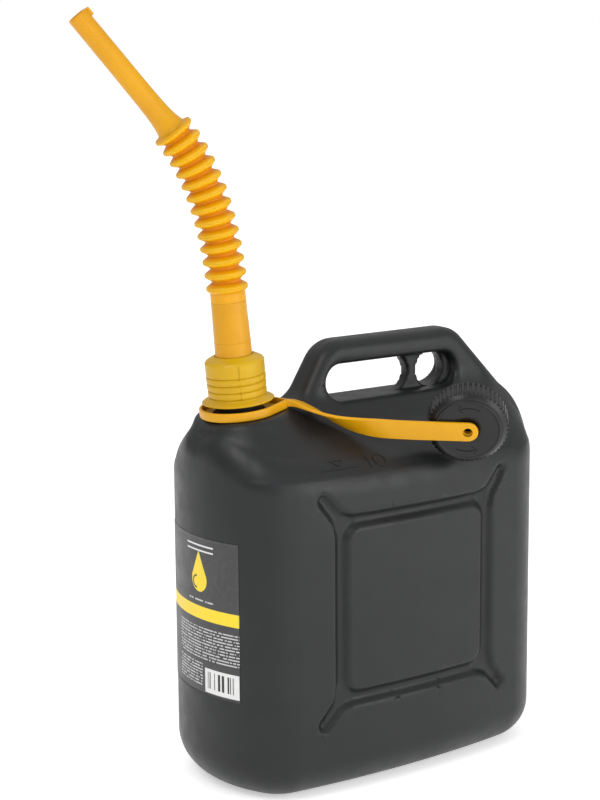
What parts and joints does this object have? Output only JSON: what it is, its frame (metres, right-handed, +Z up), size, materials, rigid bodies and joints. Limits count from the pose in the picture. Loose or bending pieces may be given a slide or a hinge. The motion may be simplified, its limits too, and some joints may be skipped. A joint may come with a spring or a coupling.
{
  "type": "jerry can",
  "caption": "Plastic jerry can with a carrying handle, a screw-on flexible pouring spout that bends and swivels, and a tethered screw cap.",
  "frame": {"origin": "centre of the tank's footprint, on the floor it stands on", "axes": "+Z up; +X along the tank's length from the neck end to the rear; +Y across the tank, away from the strap and cap"},
  "size_m": [0.3752, 0.2019, 0.5876],
  "materials": {
    "tank_black": "satin blow-moulded polyethylene",
    "cap_black": "moulded polypropylene with a low gloss",
    "tether_yellow": "satin injection-moulded polyethylene",
    "collar_yellow": "satin injection-moulded polyethylene",
    "spout_yellow": "satin flexible polyethylene",
    "seal_rubber": "smooth nitrile rubber",
    "label_print": "printed film, satin"
  },
  "bodies": {
    "tank": {"tank_base": "tank_black", "tank_waist": "tank_black", "tank_shoulder": "tank_black", "tank_handle": "tank_black", "tank_neck": "tank_black", "end_label": "label_print"},
    "tether_ring": {"tether_ring": "tether_yellow"},
    "tether_strap": {"tether_strap": "tether_yellow"},
    "cap_shell": {"cap_outer": "cap_black"},
    "cap_closure": {"cap_inner": "cap_black", "cap_gasket": "seal_rubber"},
    "spout_seal": {"spout_seal": "seal_rubber"},
    "spout_collar": {"spout_collar": "collar_yellow"},
    "spout_pipe": {"spout_tube": "spout_yellow"},
    "fold_01": {"bellows_fold_01": "spout_yellow"},
    "fold_02": {"bellows_fold_02": "spout_yellow"},
    "fold_03": {"bellows_fold_03": "spout_yellow"},
    "fold_04": {"bellows_fold_04": "spout_yellow"},
    "fold_05": {"bellows_fold_05": "spout_yellow"},
    "fold_06": {"bellows_fold_06": "spout_yellow"},
    "fold_07": {"bellows_fold_07": "spout_yellow"},
    "fold_08": {"bellows_fold_08": "spout_yellow"},
    "fold_09": {"bellows_fold_09": "spout_yellow"},
    "fold_10": {"bellows_fold_10": "spout_yellow"},
    "fold_11": {"bellows_fold_11": "spout_yellow"},
    "fold_12": {"bellows_fold_12": "spout_yellow"},
    "spout_outlet": {"spout_tip": "spout_yellow"}
  },
  "joints": [
    {"name": "ring_turn", "type": "hinge", "parent": "tank", "child": "tether_ring", "pos_m": [-0.1095, 0, 0.2885], "axis": [-0.0976, 0, 0.9952], "range_deg": [-270, 0]},
    {"name": "strap_swing", "type": "hinge", "parent": "tether_ring", "child": "tether_strap", "pos_m": [-0.07671, -0.0197, 0.29543], "axis": [-0.6428, -0.766, 0], "range_deg": [0, 60]},
    {"name": "cap_spin", "type": "hinge", "parent": "tether_strap", "child": "cap_shell", "pos_m": [0.02655, -0.10414, 0.27465], "axis": [-0.6078, -0.7243, -0.3256], "continuous": true},
    {"name": "cap_push", "type": "slide", "parent": "cap_shell", "child": "cap_closure", "axis": [-0.6078, -0.7243, -0.3256], "range_m": [0, 0.0016], "stiffness_N_per_m": 800},
    {"name": "spout_lift", "type": "slide", "parent": "tank", "child": "spout_seal", "axis": [-0.0976, 0, 0.9952], "range_m": [0, 0.0159]},
    {"name": "collar_unscrew", "type": "hinge", "parent": "spout_seal", "child": "spout_collar", "pos_m": [-0.1095, 0, 0.2885], "axis": [-0.0976, 0, 0.9952], "range_deg": [0, 1080]},
    {"name": "spout_swivel", "type": "hinge", "parent": "spout_seal", "child": "spout_pipe", "pos_m": [-0.1095, 0, 0.2885], "axis": [-0.0976, 0, 0.9952], "continuous": true},
    {"name": "bend_01", "type": "hinge", "parent": "spout_pipe", "child": "fold_01", "pos_m": [-0.11845, 0, 0.37975], "axis": [-0.4048, -0.9135, -0.0397], "range_deg": [-0.94, 1.65]},
    {"name": "bend_02", "type": "hinge", "parent": "fold_01", "child": "fold_02", "pos_m": [-0.1196, 0.00007, 0.38991], "axis": [-0.4048, -0.9135, -0.0397], "range_deg": [-1.19, 2.1]},
    {"name": "bend_03", "type": "hinge", "parent": "fold_02", "child": "fold_03", "pos_m": [-0.12094, 0.00022, 0.40005], "axis": [-0.4048, -0.9135, -0.0397], "range_deg": [-1.45, 2.54]},
    {"name": "bend_04", "type": "hinge", "parent": "fold_03", "child": "fold_04", "pos_m": [-0.12252, 0.00048, 0.41016], "axis": [-0.4048, -0.9135, -0.0397], "range_deg": [-1.7, 2.98]},
    {"name": "bend_05", "type": "hinge", "parent": "fold_04", "child": "fold_05", "pos_m": [-0.12437, 0.00086, 0.42021], "axis": [-0.4048, -0.9135, -0.0397], "range_deg": [-1.95, 3.43]},
    {"name": "bend_06", "type": "hinge", "parent": "fold_05", "child": "fold_06", "pos_m": [-0.12653, 0.00139, 0.4302], "axis": [-0.4048, -0.9135, -0.0397], "range_deg": [-2.2, 3.87]},
    {"name": "bend_07", "type": "hinge", "parent": "fold_06", "child": "fold_07", "pos_m": [-0.12904, 0.00207, 0.44009], "axis": [-0.4048, -0.9135, -0.0397], "range_deg": [-2.46, 4.32]},
    {"name": "bend_08", "type": "hinge", "parent": "fold_07", "child": "fold_08", "pos_m": [-0.13193, 0.00293, 0.44987], "axis": [-0.4048, -0.9135, -0.0397], "range_deg": [-2.71, 4.76]},
    {"name": "bend_09", "type": "hinge", "parent": "fold_08", "child": "fold_09", "pos_m": [-0.13524, 0.00398, 0.45949], "axis": [-0.4048, -0.9135, -0.0397], "range_deg": [-2.96, 5.2]},
    {"name": "bend_10", "type": "hinge", "parent": "fold_09", "child": "fold_10", "pos_m": [-0.13899, 0.00523, 0.46892], "axis": [-0.4048, -0.9135, -0.0397], "range_deg": [-3.21, 5.65]},
    {"name": "bend_11", "type": "hinge", "parent": "fold_10", "child": "fold_11", "pos_m": [-0.14322, 0.00671, 0.47812], "axis": [-0.4048, -0.9135, -0.0397], "range_deg": [-3.47, 6.09]},
    {"name": "bend_12", "type": "hinge", "parent": "fold_11", "child": "fold_12", "pos_m": [-0.14795, 0.00841, 0.48703], "axis": [-0.4048, -0.9135, -0.0397], "range_deg": [-3.72, 6.53]},
    {"name": "bend_13", "type": "hinge", "parent": "fold_12", "child": "spout_outlet", "pos_m": [-0.15319, 0.01036, 0.4956], "axis": [-0.4048, -0.9135, -0.0397], "range_deg": [-3.97, 6.98]}
  ],
  "couplings": [
    {"joint": "spout_lift", "follows": "collar_unscrew", "m_per_rad": 0.00084352},
    {"joint": "bend_02", "follows": "bend_01", "ratio": 1.2686},
    {"joint": "bend_03", "follows": "bend_01", "ratio": 1.5372},
    {"joint": "bend_04", "follows": "bend_01", "ratio": 1.8059},
    {"joint": "bend_05", "follows": "bend_01", "ratio": 2.0745},
    {"joint": "bend_06", "follows": "bend_01", "ratio": 2.3431},
    {"joint": "bend_07", "follows": "bend_01", "ratio": 2.6117},
    {"joint": "bend_08", "follows": "bend_01", "ratio": 2.8803},
    {"joint": "bend_09", "follows": "bend_01", "ratio": 3.1489},
    {"joint": "bend_10", "follows": "bend_01", "ratio": 3.4176},
    {"joint": "bend_11", "follows": "bend_01", "ratio": 3.6862},
    {"joint": "bend_12", "follows": "bend_01", "ratio": 3.9548},
    {"joint": "bend_13", "follows": "bend_01", "ratio": 4.2234}
  ]
}
